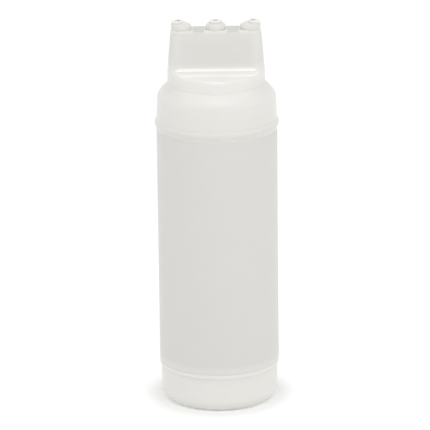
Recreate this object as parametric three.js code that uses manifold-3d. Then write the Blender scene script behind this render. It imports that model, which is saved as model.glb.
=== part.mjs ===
// Squeeze bottle with a wide flat three-nozzle lid and a screw-on refill cap at its base.
// Millimetres, +Z up. The origin is the middle of the face that the bottle stands on.
// The body has the same threaded neck at both ends, so the lid and the refill cap share one fit.
import * as THREE from "three";
import { mergeVertices } from "three/addons/utils/BufferGeometryUtils.js";
import Module from "manifold-3d";

const wasm = await Module();
wasm.setup();

// Body, blow moulded
const bodyRadius = 35.05;
const bodyHeight = 141;
const bodyWall = 1;
const bodyCornerRadius = 0.8;

// Neck, the same at both ends of the body
const neckHeight = 19.4;
const neckWall = 1.5;
const neckEdgeRadius = 0.4;

// Thread, right-handed, one ridge on each neck and one in each closure
const threadPitch = 5;
const threadTurns = 1.25;
const threadDepth = 1.2;
const threadRootHalf = 1.3;
const threadCrestHalf = 0.6;
const threadEndMargin = 2.6;
const threadRunOut = THREE.MathUtils.degToRad(24);
const threadRoot = 0.5;

// Fits
const threadClearance = 0.4;
const flankClearance = 0.35;
const seatClearance = 0.3;
const plugClearance = 1.1;

// Walls shared by the lid and the refill cap
const closureWall = 1.8;
const closureCornerRadius = 2.5;
const plugWall = 1.6;
const plugDepth = 3.5;
const sealThickness = 1.5;

// Refill cap
const capSetback = 1.05;
const capFloor = 2.2;
const capBottomRadius = 6.5;
const capRimSetback = 0.1;
const capRimHeight = 1.6;
const capRimSlope = 1.8;
const capRimEdgeRadius = 0.4;
const footGrooveRadius = 21;
const footGrooveWidth = 1.6;
const footGrooveDepth = 0.5;

// Lid skirt and shoulder
const beadRadius = 3.1;
const beadProud = 0.95;
const beadUndercut = THREE.MathUtils.degToRad(32);
const skirtProud = 0.15;
const skirtTaper = 0.65;
const skirtTop = 18;
const roofThickness = 4.2;

// Lid drum
const drumWall = 1.8;
const drumHeight = 8;
const drumEdgeRadius = 2;
const drumCrown = 0.8;

// Flat spout that grows out of the drum
const spoutHeight = 32.6;
const spoutTaper = 2.2;
const spoutTaperPower = 1.3;
const spoutWall = 1.8;
const spoutCornerRadius = 6;
const spoutTopHalfDepth = 7.25;
const spoutFootHalfDepth = 12.9;
const spoutFootRise = 3.6;
const spoutTopEdgeRadius = 1.8;
const ledgeHalfDepth = 19.4;
const ledgeRise = 2.5;
const ledgeEdgeRadius = 1.2;
const footFilletRadius = 1;

// Nozzles and the pads that they stand on
const padSpacing = 19.8;
const padRadius = 6;
const padWallHeight = 0.8;
const padHeight = 3;
const nozzleRadius = 3.5;
const nozzleBoreRadius = 1.6;
const nozzleTipHeight = 4.8;
const nozzleSpread = 2.4;
const nozzleLean = THREE.MathUtils.degToRad(5);
const nozzleEdgeRadius = 0.5;

// Facets
const turnFacets = 48;
const smallFacets = 28;
const arcSteps = 2;
const mergeDistance = 1e-4;

// Radii that follow from the body outwards in
const capRadius = bodyRadius - capSetback;
const capRimRadius = bodyRadius - capRimSetback;
const boreRadius = capRadius - closureWall;
const neckRadius = boreRadius - threadClearance - threadDepth;
const neckBoreRadius = neckRadius - neckWall;
const plugRadius = neckBoreRadius - plugClearance;
const chamberRadius = plugRadius - plugWall;
const drumRadius = chamberRadius + drumWall;

// Heights that follow from the floor upwards
const sealStack = seatClearance + sealThickness + seatClearance;
const capHeight = capFloor + sealStack + neckHeight - seatClearance;
const bodyBottom = capHeight + seatClearance;
const bodyTop = bodyBottom + bodyHeight;
const neckBottom = bodyBottom - neckHeight;
const neckTop = bodyTop + neckHeight;
const lidRim = bodyTop + seatClearance;
const lidCeiling = neckTop + sealStack;
const shoulderTop = lidCeiling + roofThickness;
const drumTop = shoulderTop + drumHeight;
const spoutTop = shoulderTop + spoutHeight;

// Natural low-density polyethylene, and silicone for the two seal rings
const bodyPlastic = { color: 0xdbdad6, roughness: 0.42, metalness: 0 };
const closurePlastic = { color: 0xe4e4e1, roughness: 0.38, metalness: 0 };
const sealSilicone = { color: 0xeeece6, roughness: 0.6, metalness: 0 };

// A closed three.js geometry as a solid that can be joined and cut.
function solidOf(geometry) {
  geometry.deleteAttribute("normal");
  geometry.deleteAttribute("uv");
  const merged = mergeVertices(geometry, mergeDistance);
  const vertProperties = merged.attributes.position.array;
  const triVerts = new Uint32Array(merged.index.array);
  return new wasm.Manifold(new wasm.Mesh({ numProp: 3, vertProperties, triVerts }));
}

// A finished solid as a named mesh in its own plastic.
function meshOf(name, solid, finish) {
  const { vertProperties, triVerts } = solid.getMesh();
  const geometry = new THREE.BufferGeometry();
  geometry.setAttribute("position", new THREE.BufferAttribute(vertProperties, 3));
  geometry.setIndex(new THREE.BufferAttribute(triVerts, 1));
  geometry.computeVertexNormals();
  const mesh = new THREE.Mesh(geometry, new THREE.MeshStandardMaterial({ flatShading: true, ...finish }));
  mesh.name = name;
  return mesh;
}

// A profile of radius and height turned round the Z axis.
function revolve(profile) {
  const points = profile.getPoints(arcSteps);
  const geometry = new THREE.LatheGeometry(points, turnFacets);
  return solidOf(geometry.rotateX(Math.PI / 2));
}

// A closed skin over rings of equally many points, each counter-clockwise seen from the ring after it.
function loft(rings) {
  const count = rings[0].length;
  const points = rings.flat();
  const index = [];
  for (let ring = 0; ring < rings.length - 1; ring++) {
    for (let step = 0; step < count; step++) {
      const here = ring * count + step;
      const next = ring * count + ((step + 1) % count);
      index.push(here, next, next + count, here, next + count, here + count);
    }
  }
  const last = (rings.length - 1) * count;
  const middleOf = (ring) =>
    ring.reduce((sum, point) => sum.add(point), new THREE.Vector3()).divideScalar(count);
  points.push(middleOf(rings[0]), middleOf(rings[rings.length - 1]));
  for (let step = 0; step < count; step++) {
    const next = (step + 1) % count;
    index.push(points.length - 2, next, step, points.length - 1, last + step, last + next);
  }
  const geometry = new THREE.BufferGeometry().setFromPoints(points);
  geometry.setIndex(index);
  return solidOf(geometry);
}

// One thread ridge that starts on +X and climbs counter-clockwise from the height `start`.
// `surface` is the wall that it stands on; `side` is 1 for outwards and -1 for inwards.
// `turnOver` gives the same ridge for the neck or closure at the other end of the body.
function threadRidge({ surface, side, start, turnOver = false }) {
  const sweep = threadTurns * 2 * Math.PI;
  const steps = Math.round(threadTurns * turnFacets);
  const rings = [];
  for (let step = 0; step <= steps; step++) {
    const angle = (sweep * step) / steps;
    const fade = Math.min(1, angle / threadRunOut, (sweep - angle) / threadRunOut);
    const depth = THREE.MathUtils.lerp(-threadRoot / 2, threadDepth, fade);
    const flank = (threadRootHalf - threadCrestHalf) / threadDepth;
    const rootHalf = threadRootHalf + flank * threadRoot;
    const crestHalf = threadRootHalf - flank * depth;
    const root = surface - side * threadRoot;
    const crest = surface + side * depth;
    const middle = start + (threadPitch * angle) / (2 * Math.PI);
    const corner = (radius, height) =>
      new THREE.Vector3(radius * Math.cos(angle), radius * Math.sin(angle), middle + height);
    const ring = [
      corner(root, rootHalf),
      corner(crest, crestHalf),
      corner(crest, -crestHalf),
      corner(root, -rootHalf),
    ];
    if (side < 0) ring.reverse();
    if (turnOver) ring.forEach((point) => point.set(point.x, -point.y, bodyBottom + bodyTop - point.z));
    rings.push(ring);
  }
  return loft(rings);
}

const neckThreadStart = neckTop - threadEndMargin - threadPitch * threadTurns;
const flankSlope = (threadRootHalf - threadCrestHalf) / threadDepth;
const meshedDepth = threadDepth + threadClearance;
const threadOffset = 2 * threadRootHalf - flankSlope * meshedDepth + flankClearance;
const closureThreadStart = neckThreadStart - threadOffset;
const neckRidge = { surface: neckRadius, side: 1, start: neckThreadStart };
const closureRidge = { surface: boreRadius, side: -1, start: closureThreadStart };

// The body: one tube wall that steps in to a neck at each end, where a mirrored half profile meets itself.
function bottleBody() {
  const outer = bodyRadius - bodyCornerRadius;
  const innerRadius = bodyRadius - bodyWall;
  const innerCorner = Math.max(bodyCornerRadius - bodyWall / 2, 0.2);
  const lip = neckEdgeRadius;
  const wall = new THREE.Path();
  wall.moveTo(neckBoreRadius, neckBottom);
  wall.lineTo(neckRadius - lip, neckBottom);
  wall.lineTo(neckRadius, neckBottom + lip);
  wall.lineTo(neckRadius, bodyBottom);
  wall.absarc(outer, bodyBottom + bodyCornerRadius, bodyCornerRadius, -Math.PI / 2, 0);
  wall.absarc(outer, bodyTop - bodyCornerRadius, bodyCornerRadius, 0, Math.PI / 2);
  wall.lineTo(neckRadius, bodyTop);
  wall.lineTo(neckRadius, neckTop - lip);
  wall.lineTo(neckRadius - lip, neckTop);
  wall.lineTo(neckBoreRadius, neckTop);
  wall.lineTo(neckBoreRadius, bodyTop - bodyWall);
  wall.absarc(innerRadius - innerCorner, bodyTop - bodyWall - innerCorner, innerCorner, Math.PI / 2, 0, true);
  wall.absarc(innerRadius - innerCorner, bodyBottom + bodyWall + innerCorner, innerCorner, 0, -Math.PI / 2, true);
  wall.lineTo(neckBoreRadius, bodyBottom + bodyWall);
  wall.lineTo(neckBoreRadius, neckBottom);
  const topRidge = threadRidge(neckRidge);
  const bottomRidge = threadRidge({ ...neckRidge, turnOver: true });
  return revolve(wall).add(topRidge).add(bottomRidge);
}

// The refill cap: a cup with a rounded foot and a rim as wide as the body, a plug ring that centres
// its seal, and the thread.
function refillCap() {
  const grooveInner = footGrooveRadius - footGrooveWidth / 2;
  const grooveOuter = footGrooveRadius + footGrooveWidth / 2;
  const edge = capRimEdgeRadius;
  const rimFoot = capHeight - capRimHeight;
  const wall = new THREE.Path();
  wall.moveTo(0, 0);
  wall.lineTo(grooveInner, 0);
  wall.lineTo(footGrooveRadius, footGrooveDepth);
  wall.lineTo(grooveOuter, 0);
  wall.absarc(capRadius - capBottomRadius, capBottomRadius, capBottomRadius, -Math.PI / 2, 0);
  wall.lineTo(capRadius, rimFoot - capRimSlope);
  wall.lineTo(capRimRadius, rimFoot);
  wall.absarc(capRimRadius - edge, capHeight - edge, edge, 0, Math.PI / 2);
  wall.lineTo(boreRadius, capHeight);
  const corner = closureCornerRadius;
  wall.absarc(boreRadius - corner, capFloor + corner, corner, 0, -Math.PI / 2, true);
  wall.lineTo(plugRadius, capFloor);
  wall.lineTo(plugRadius, capFloor + plugDepth);
  wall.lineTo(chamberRadius, capFloor + plugDepth);
  wall.lineTo(chamberRadius, capFloor);
  wall.lineTo(0, capFloor);
  return revolve(wall).add(threadRidge({ ...closureRidge, turnOver: true }));
}

// A flat silicone ring round the plug, between the neck's end and the closure.
function sealRing(bottom) {
  const inner = plugRadius + seatClearance;
  const wall = new THREE.Path();
  wall.moveTo(inner, bottom);
  wall.lineTo(neckRadius, bottom);
  wall.lineTo(neckRadius, bottom + sealThickness);
  wall.lineTo(inner, bottom + sealThickness);
  wall.lineTo(inner, bottom);
  return revolve(wall);
}

// The outside of the lid's turned part: bead, tapered skirt, rounded shoulder and drum.
function lidOutside() {
  const skirtFoot = bodyRadius - skirtProud + skirtTaper * 0.1;
  const skirtHead = skirtFoot - skirtTaper;
  const beadCentre = bodyRadius + beadProud - beadRadius;
  const beadMiddle = lidRim + beadRadius * Math.cos(beadUndercut);
  const beadMeet = Math.acos((skirtFoot - beadCentre) / beadRadius);
  const beadStart = beadUndercut - Math.PI / 2;
  const skirtEnd = lidRim + skirtTop;
  const edge = drumEdgeRadius;
  const wall = new THREE.Path();
  wall.moveTo(0, lidRim);
  wall.lineTo(beadCentre + beadRadius * Math.cos(beadStart), lidRim);
  wall.absarc(beadCentre, beadMiddle, beadRadius, beadStart, beadMeet);
  wall.lineTo(skirtHead, skirtEnd);
  const rise = shoulderTop - skirtEnd;
  const run = skirtHead - drumRadius;
  wall.bezierCurveTo(
    skirtHead - run * 0.035,
    skirtEnd + rise * 0.35,
    drumRadius + run * 0.715,
    skirtEnd + rise * 0.514,
    drumRadius,
    shoulderTop,
  );
  wall.absarc(drumRadius - edge, drumTop - edge, edge, 0, Math.PI / 2);
  wall.lineTo(0, drumTop + drumCrown);
  return revolve(wall);
}

// The hollow of the turned part: thread bore, seal seat, plug ring and the chamber in the drum.
function lidInside() {
  const corner = closureCornerRadius;
  const below = lidRim - closureWall;
  const hollow = new THREE.Path();
  hollow.moveTo(0, below);
  hollow.lineTo(boreRadius, below);
  hollow.absarc(boreRadius - corner, lidCeiling - corner, corner, 0, Math.PI / 2);
  hollow.lineTo(plugRadius, lidCeiling);
  hollow.lineTo(plugRadius, lidCeiling - plugDepth);
  hollow.lineTo(chamberRadius, lidCeiling - plugDepth);
  hollow.lineTo(chamberRadius, drumTop - drumWall);
  hollow.lineTo(0, drumTop - drumWall);
  return revolve(hollow);
}

// A level slice of the spout: the drum's round cut off flat front and back, with rounded corners.
function spoutSlice(radius, halfDepth, height) {
  const fillet = Math.min(spoutCornerRadius, halfDepth * 0.92);
  const middleY = halfDepth - fillet;
  const middleX = Math.sqrt((radius - fillet) ** 2 - middleY ** 2);
  const meet = Math.atan2(middleY, middleX);
  const drumArc = new THREE.ArcCurve(0, 0, radius, 0, meet);
  const cornerArc = new THREE.ArcCurve(middleX, middleY, fillet, meet, Math.PI / 2);
  const front = [...drumArc.getPoints(2 * arcSteps), ...cornerArc.getPoints(2 * arcSteps).slice(1)];
  const back = front.slice().reverse();
  const outline = [
    ...front.map((point) => [point.x, point.y]),
    ...back.map((point) => [-point.x, point.y]),
    ...front.slice(1).map((point) => [-point.x, -point.y]),
    ...back.slice(0, -1).map((point) => [point.x, -point.y]),
  ];
  return outline.map(([x, y]) => new THREE.Vector3(x, y, height));
}

// The radius that the spout's narrow sides keep at a height.
function spoutRadiusAt(height) {
  const start = drumTop - drumEdgeRadius;
  const share = THREE.MathUtils.clamp((height - start) / (spoutTop - start), 0, 1);
  return drumRadius - seatClearance / 6 - spoutTaper * share ** spoutTaperPower;
}

const faceFoot = drumTop + spoutFootRise;
const faceHead = spoutTop - spoutTopEdgeRadius;
const faceSlope = (spoutFootHalfDepth - spoutTopHalfDepth) / (faceHead - faceFoot);
const faceHalfDepthAt = (height) => spoutTopHalfDepth + faceSlope * (faceHead - height);

// The outside of the spout. Its side view is a path of half depth and height, from the drum up:
// a ledge along the foot, a fillet, the flat face, and a rounded top edge.
function spoutOutside() {
  const ledge = drumTop + ledgeRise;
  const side = new THREE.Path();
  side.moveTo(ledgeHalfDepth + ledgeEdgeRadius, drumTop - drumEdgeRadius);
  side.lineTo(ledgeHalfDepth + ledgeEdgeRadius / 2, ledge - ledgeEdgeRadius);
  side.quadraticCurveTo(ledgeHalfDepth, ledge, ledgeHalfDepth - ledgeEdgeRadius, ledge);
  side.lineTo(spoutFootHalfDepth + footFilletRadius, faceFoot - footFilletRadius);
  side.quadraticCurveTo(
    faceHalfDepthAt(faceFoot - footFilletRadius * 0.8),
    faceFoot - footFilletRadius * 0.8,
    spoutFootHalfDepth,
    faceFoot,
  );
  side.lineTo(spoutTopHalfDepth, faceHead);
  side.absarc(
    spoutTopHalfDepth - spoutTopEdgeRadius,
    faceHead,
    spoutTopEdgeRadius,
    0,
    Math.PI / 2,
  );
  const slices = side.getPoints(arcSteps).map((point) => {
    const edge = point.y > faceHead ? spoutTopHalfDepth - point.x : 0;
    return spoutSlice(spoutRadiusAt(point.y) - edge, point.x, point.y);
  });
  return loft(slices);
}

// The hollow of the spout, a wall's thickness inside its faces and sides.
function spoutInside() {
  const bottom = drumTop - 2 * drumWall;
  const top = spoutTop - spoutWall;
  const heights = [bottom, faceFoot, (faceFoot + faceHead) / 2, top - spoutTopEdgeRadius, top];
  const slices = heights.map((height) => {
    const edge = height === top ? spoutTopEdgeRadius / 2 : 0;
    const inset = spoutWall + edge;
    return spoutSlice(spoutRadiusAt(height) - inset, faceHalfDepthAt(height) - inset, height);
  });
  return loft(slices);
}

// A circle of a nozzle or pad, tipped by `lean` towards +X.
function leaningCircle(x, height, radius, lean) {
  const circle = [];
  for (let step = 0; step < smallFacets; step++) {
    const angle = (2 * Math.PI * step) / smallFacets;
    const across = radius * Math.cos(angle);
    const point = [x + across * Math.cos(lean), radius * Math.sin(angle), height - across * Math.sin(lean)];
    circle.push(new THREE.Vector3(...point));
  }
  return circle;
}

// A pad with its nozzle. `side` is -1, 0 or 1: the outer nozzles stand further out and lean away.
function nozzleOutside(side) {
  const padX = side * padSpacing;
  const tipX = padX + side * nozzleSpread;
  const lean = side * nozzleLean;
  const domeTop = spoutTop + padHeight;
  const domeBottom = spoutTop + padWallHeight;
  const tip = spoutTop + nozzleTipHeight;
  const rings = [leaningCircle(padX, spoutTop - spoutWall / 2, padRadius, 0)];
  const domeSteps = 3;
  for (let step = 0; step <= domeSteps; step++) {
    const angle = ((Math.PI / 2) * step) / domeSteps;
    const inwards = 1 - Math.cos(angle);
    const upwards = Math.sin(angle);
    const x = THREE.MathUtils.lerp(padX, tipX, inwards);
    const height = THREE.MathUtils.lerp(domeBottom, domeTop, upwards);
    const radius = THREE.MathUtils.lerp(padRadius, nozzleRadius, inwards);
    rings.push(leaningCircle(x, height, radius, lean * upwards));
  }
  rings.push(leaningCircle(tipX, tip - nozzleEdgeRadius, nozzleRadius, lean));
  rings.push(leaningCircle(tipX, tip, nozzleRadius - nozzleEdgeRadius, lean));
  return loft(rings);
}

// The bore from the spout's hollow out through a nozzle.
function nozzleBore(side) {
  const padX = side * padSpacing;
  const tipX = padX + side * nozzleSpread;
  const lean = side * nozzleLean;
  const inside = spoutTop - spoutWall - spoutTopEdgeRadius;
  const outside = spoutTop + nozzleTipHeight + nozzleBoreRadius;
  return loft([
    leaningCircle(padX - side * nozzleSpread / 2, inside, nozzleBoreRadius, lean),
    leaningCircle(tipX, outside, nozzleBoreRadius, lean),
  ]);
}

// The lid: turned part, spout, pads and nozzles in one moulding.
function dispensingLid() {
  const sides = [-1, 0, 1];
  let lid = lidOutside().add(spoutOutside());
  for (const side of sides) lid = lid.add(nozzleOutside(side));
  lid = lid.subtract(lidInside()).subtract(spoutInside());
  for (const side of sides) lid = lid.subtract(nozzleBore(side));
  return lid.add(threadRidge(closureRidge));
}

const bottle = new THREE.Group();
bottle.name = "squeeze_bottle";
bottle.add(
  meshOf("bottle_body", bottleBody(), bodyPlastic),
  meshOf("dispensing_lid", dispensingLid(), closurePlastic),
  meshOf("refill_cap", refillCap(), closurePlastic),
  meshOf("lid_seal", sealRing(neckTop + seatClearance), sealSilicone),
  meshOf("refill_seal", sealRing(capFloor + seatClearance), sealSilicone),
);

export default bottle;
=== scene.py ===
# %% [markdown]
# # A squeeze bottle with a flat three-nozzle lid
# The real bottle is made of milky natural polyethylene. A blown tube has a threaded neck at both
# ends. A moulded lid with a wide flat spout closes the top, and a plain screw cap closes the base,
# so that the bottle can be refilled from there.
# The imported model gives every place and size. Blender adds finer skins, the finish and the light.

# %% Load the fixed frame
import math

import bmesh
import bpy
from mathutils import Matrix, Vector


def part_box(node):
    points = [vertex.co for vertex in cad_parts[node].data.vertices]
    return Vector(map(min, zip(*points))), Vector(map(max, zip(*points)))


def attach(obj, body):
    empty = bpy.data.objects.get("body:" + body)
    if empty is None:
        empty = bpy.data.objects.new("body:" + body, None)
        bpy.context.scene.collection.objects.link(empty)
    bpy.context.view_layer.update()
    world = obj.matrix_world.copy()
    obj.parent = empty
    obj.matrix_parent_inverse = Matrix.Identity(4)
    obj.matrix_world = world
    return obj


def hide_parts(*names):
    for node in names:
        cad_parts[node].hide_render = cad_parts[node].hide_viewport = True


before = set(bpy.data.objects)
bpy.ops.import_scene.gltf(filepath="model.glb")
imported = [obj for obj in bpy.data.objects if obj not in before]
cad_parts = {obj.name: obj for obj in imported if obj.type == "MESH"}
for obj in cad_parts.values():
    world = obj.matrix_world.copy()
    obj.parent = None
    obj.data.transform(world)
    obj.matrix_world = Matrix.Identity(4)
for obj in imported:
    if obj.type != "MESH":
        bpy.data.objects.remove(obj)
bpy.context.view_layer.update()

# %% [markdown]
# ## The camera
# The photograph was taken with a long lens from a little above the bottle, and the bottle leans
# by a fraction of a degree in it. The camera could be set by eye at the end. It is placed first,
# so that each piece can be compared with the photograph as soon as it exists.

# %% Camera
mm = 0.001
IMAGE_PIXELS = 430
FOCAL_PIXELS = 3795
SENSOR_WIDTH = 36
CLIP_NEAR = 0.05
CLIP_FAR = 50
VIEW_DISTANCE = 2216 * mm
VIEW_ELEVATION = math.radians(17.1)
VIEW_ROLL = math.radians(-0.677)
LOOK_AT = Vector((-1.67 * mm, 0, 110.6 * mm))


def add_camera():
    data = bpy.data.cameras.new("camera")
    data.lens = FOCAL_PIXELS / IMAGE_PIXELS * SENSOR_WIDTH
    data.sensor_width = SENSOR_WIDTH
    data.clip_start = CLIP_NEAR
    data.clip_end = CLIP_FAR
    camera = bpy.data.objects.new("camera", data)
    bpy.context.scene.collection.objects.link(camera)
    back = Vector((0, -math.cos(VIEW_ELEVATION), math.sin(VIEW_ELEVATION)))
    turn = back.to_track_quat("Z", "Y").to_matrix().to_4x4()
    roll = Matrix.Rotation(VIEW_ROLL, 4, "Z")
    camera.matrix_world = Matrix.Translation(LOOK_AT + back * VIEW_DISTANCE) @ turn @ roll
    bpy.context.scene.camera = camera
    return camera


camera = add_camera()
print("lens:", round(camera.data.lens, 1))

# %% [markdown]
# ## Sizes that come from the frame
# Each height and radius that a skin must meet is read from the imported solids, so the skins can't
# drift from them. Only the small radii and walls are written here. The solids are seated a little
# apart, and the real rims touch, so the skins close that gap to a hairline.

# %% Sizes of the body and the cap
SEAT = 0.3 * mm
VISIBLE_GAP = 0.01 * mm
BODY_WALL = 1 * mm
BODY_CORNER = 0.8 * mm
CAP_SETBACK = 1.05 * mm

body_low, body_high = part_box("bottle_body")
lid_low, lid_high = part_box("dispensing_lid")
cap_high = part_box("refill_cap")[1]
BODY_RADIUS = body_high.x
CAP_RIM_RADIUS = cap_high.x
CAP_RADIUS = BODY_RADIUS - CAP_SETBACK
CAP_HEIGHT = cap_high.z
BODY_BOTTOM = CAP_HEIGHT + SEAT
LID_RIM = lid_low.z
BODY_TOP = LID_RIM - SEAT
print("body radius:", round(BODY_RADIUS / mm, 2), "mm, body top:", round(BODY_TOP / mm, 2), "mm")

# %% Sizes of the necks and what fits round them
NECK_WALL = 1.5 * mm
THREAD_DEPTH = 1.2 * mm
THREAD_CLEARANCE = 0.4 * mm
PLUG_CLEARANCE = 1.1 * mm
PLUG_WALL = 1.6 * mm
PLUG_DEPTH = 3.5 * mm
CLOSURE_CORNER = 2.5 * mm

lid_seal_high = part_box("lid_seal")[1]
refill_seal_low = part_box("refill_seal")[0]
NECK_BOTTOM = body_low.z
NECK_TOP = body_high.z
NECK_RADIUS = lid_seal_high.x
NECK_BORE = NECK_RADIUS - NECK_WALL
CLOSURE_BORE = NECK_RADIUS + THREAD_DEPTH + THREAD_CLEARANCE
PLUG_RADIUS = NECK_BORE - PLUG_CLEARANCE
CHAMBER_RADIUS = PLUG_RADIUS - PLUG_WALL
CAP_FLOOR = refill_seal_low.z - SEAT
LID_CEILING = lid_seal_high.z + SEAT
print("neck radius:", round(NECK_RADIUS / mm, 2), "mm, lid ceiling:", round(LID_CEILING / mm, 2), "mm")

# %% [markdown]
# ## Turned skins
# A blown tube and a screw cap are bodies of revolution. They could be stacked from cylinders and
# bevelled. Here their wall is drawn once, as an outline of radius and height, and Blender's spin
# carries it round the axis, which keeps true circles and fillets all the way up.

# %% Outline helpers
ARC_STEPS = 8


def arc(centre_r, centre_z, radius, start, end, steps=ARC_STEPS):
    """Points of radius and height on an arc, from one angle to another in degrees."""
    angles = [math.radians(start + (end - start) * i / steps) for i in range(steps + 1)]
    return [(centre_r + radius * math.cos(a), centre_z + radius * math.sin(a)) for a in angles]


def bend(points, steps=12):
    """A Bezier curve through four control points."""
    curve = []
    for i in range(steps + 1):
        t = i / steps
        weights = ((1 - t) ** 3, 3 * t * (1 - t) ** 2, 3 * t * t * (1 - t), t**3)
        curve.append(tuple(sum(w * p[k] for w, p in zip(weights, points)) for k in range(2)))
    return curve


print("points in a quarter round:", len(arc(0, 0, 1, 0, 90)))

# %% From outline to solid
TURN_STEPS = 192
SMOOTH_ANGLE = math.radians(32)
SAME_PLACE = 1e-7


def finish_mesh(bm, name):
    """Turns a bmesh into an object that sits at the origin, with its place in its mesh."""
    mesh = bpy.data.meshes.new(name)
    bm.to_mesh(mesh)
    bm.free()
    piece = bpy.data.objects.new(name, mesh)
    bpy.context.scene.collection.objects.link(piece)
    return piece


def soften(piece, angle=SMOOTH_ANGLE):
    """Shades faces smooth and keeps an edge sharp where its faces meet at more than the angle."""
    piece.data.polygons.foreach_set("use_smooth", [True] * len(piece.data.polygons))
    piece.data.set_sharp_from_angle(angle=angle)


def turned(name, outline, closed=True):
    """A solid of revolution. An open outline starts and ends on the axis."""
    bm = bmesh.new()
    verts = [bm.verts.new((r, 0, z)) for r, z in outline]
    edges = [bm.edges.new(pair) for pair in zip(verts, verts[1:])]
    if closed:
        edges.append(bm.edges.new((verts[-1], verts[0])))
    bmesh.ops.spin(
        bm, geom=verts + edges, cent=(0, 0, 0), axis=(0, 0, 1),
        angle=2 * math.pi, steps=TURN_STEPS, use_merge=True,
    )
    bmesh.ops.remove_doubles(bm, verts=bm.verts, dist=SAME_PLACE)
    bmesh.ops.recalc_face_normals(bm, faces=bm.faces)
    return finish_mesh(bm, name)


print("sides of a turned skin:", TURN_STEPS)

# %% [markdown]
# Booleans join the ridges of the thread to the necks and cut the nozzle bores. Welding those
# meshes by hand would mean matching their edges. The exact solver does it and keeps the result
# closed. Each operand is deleted once its shape has been used.

# %% Join and cut
BOOLEAN_SOLVER = "EXACT"


def combine(piece, other, operation):
    modifier = piece.modifiers.new(operation.lower(), "BOOLEAN")
    modifier.operation = operation
    modifier.solver = BOOLEAN_SOLVER
    modifier.object = other
    bpy.context.view_layer.update()
    depsgraph = bpy.context.evaluated_depsgraph_get()
    result = bpy.data.meshes.new_from_object(piece.evaluated_get(depsgraph))
    piece.modifiers.clear()
    piece.data = result
    bpy.data.objects.remove(other)
    return piece


print("boolean solver:", BOOLEAN_SOLVER)

# %% [markdown]
# ## The thread
# One ridge runs one and a quarter turns round each neck, and its partner runs inside each closure,
# just below it, as a screwed-down lid's does. A Screw modifier could draw it too. Spin with an
# offset per step makes the same true helix inside the bmesh, where its ends can then be pressed
# into the wall.

# %% Thread ridges
THREAD_PITCH = 5 * mm
THREAD_TURNS = 1.25
THREAD_ROOT_HALF = 1.3 * mm
THREAD_CREST_HALF = 0.6 * mm
THREAD_END_MARGIN = 2.6 * mm
THREAD_SUNK = 0.5 * mm
THREAD_RUN_OUT = math.radians(24)
FLANK_CLEARANCE = 0.35 * mm
THREAD_STEPS = 160
THREAD_SLOPE = (THREAD_ROOT_HALF - THREAD_CREST_HALF) / THREAD_DEPTH


def sink_ends(bm, surface, side, start):
    """Presses the crest of a ridge into its wall over the run-out at both ends."""
    sweep = THREAD_TURNS * 2 * math.pi
    for vert in bm.verts:
        radius = math.hypot(vert.co.x, vert.co.y)
        if side * (radius - surface) < 0:
            continue
        turns = (vert.co.z - start) / THREAD_PITCH
        angle = math.atan2(vert.co.y, vert.co.x) % (2 * math.pi)
        along = angle + 2 * math.pi * round(turns - angle / (2 * math.pi))
        fade = max(0, min(1, along / THREAD_RUN_OUT, (sweep - along) / THREAD_RUN_OUT))
        depth = -THREAD_SUNK / 2 + (THREAD_DEPTH + THREAD_SUNK / 2) * fade
        scale = (surface + side * depth) / radius
        vert.co.x *= scale
        vert.co.y *= scale


def thread_ridge(name, surface, side, start, upside_down):
    """side is 1 for a ridge that stands outwards from the surface, and -1 for inwards."""
    root = surface - side * THREAD_SUNK
    crest = surface + side * THREAD_DEPTH
    root_half = THREAD_ROOT_HALF + THREAD_SLOPE * THREAD_SUNK
    crest_half = THREAD_CREST_HALF
    corners = ((root, root_half), (crest, crest_half), (crest, -crest_half), (root, -root_half))
    bm = bmesh.new()
    section = bm.faces.new([bm.verts.new((r, 0, start + z)) for r, z in corners])
    rise = THREAD_PITCH * THREAD_TURNS / THREAD_STEPS
    bmesh.ops.spin(
        bm, geom=[section], cent=(0, 0, 0), axis=(0, 0, 1), dvec=(0, 0, rise),
        angle=THREAD_TURNS * 2 * math.pi, steps=THREAD_STEPS, use_merge=False,
    )
    sink_ends(bm, surface, side, start)
    if upside_down:
        middle = Vector((0, 0, (BODY_BOTTOM + BODY_TOP) / 2))
        flip = Matrix.Rotation(math.pi, 3, "X")
        bmesh.ops.rotate(bm, verts=bm.verts, cent=middle, matrix=flip)
    bmesh.ops.recalc_face_normals(bm, faces=bm.faces)
    return finish_mesh(bm, name)


neck_start = NECK_TOP - THREAD_END_MARGIN - THREAD_PITCH * THREAD_TURNS
ridge_gap = 2 * THREAD_ROOT_HALF - THREAD_SLOPE * (THREAD_DEPTH + THREAD_CLEARANCE) + FLANK_CLEARANCE
closure_start = neck_start - ridge_gap
print("thread pitch:", round(THREAD_PITCH / mm, 2), "mm, ridge offset:", round(ridge_gap / mm, 2), "mm")

# %% [markdown]
# ## The body
# A blown wall is thin and even, and its corners are soft where it folds in to the necks. A
# Solidify modifier could give a single skin that wall. Here the outline goes up the outside and
# comes back down the inside, because the necks are thicker than the rest.

# %% Body
NECK_EDGE = 0.4 * mm
NECK_EDGE_STEPS = 4
VISIBLE_CORNER = 0.3 * mm


def body_outside():
    neck_edge = NECK_RADIUS - NECK_EDGE
    corner = VISIBLE_CORNER
    outline = [(NECK_BORE, NECK_BOTTOM)]
    outline += arc(neck_edge, NECK_BOTTOM + NECK_EDGE, NECK_EDGE, -90, 0, NECK_EDGE_STEPS)
    outline += [(NECK_RADIUS, BODY_BOTTOM)]
    outline += arc(BODY_RADIUS - corner, BODY_BOTTOM + corner, corner, -90, 0)
    outline += arc(BODY_RADIUS - corner, BODY_TOP - corner, corner, 0, 90)
    outline += [(NECK_RADIUS, BODY_TOP)]
    outline += arc(neck_edge, NECK_TOP - NECK_EDGE, NECK_EDGE, 0, 90, NECK_EDGE_STEPS)
    return outline + [(NECK_BORE, NECK_TOP)]


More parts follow.
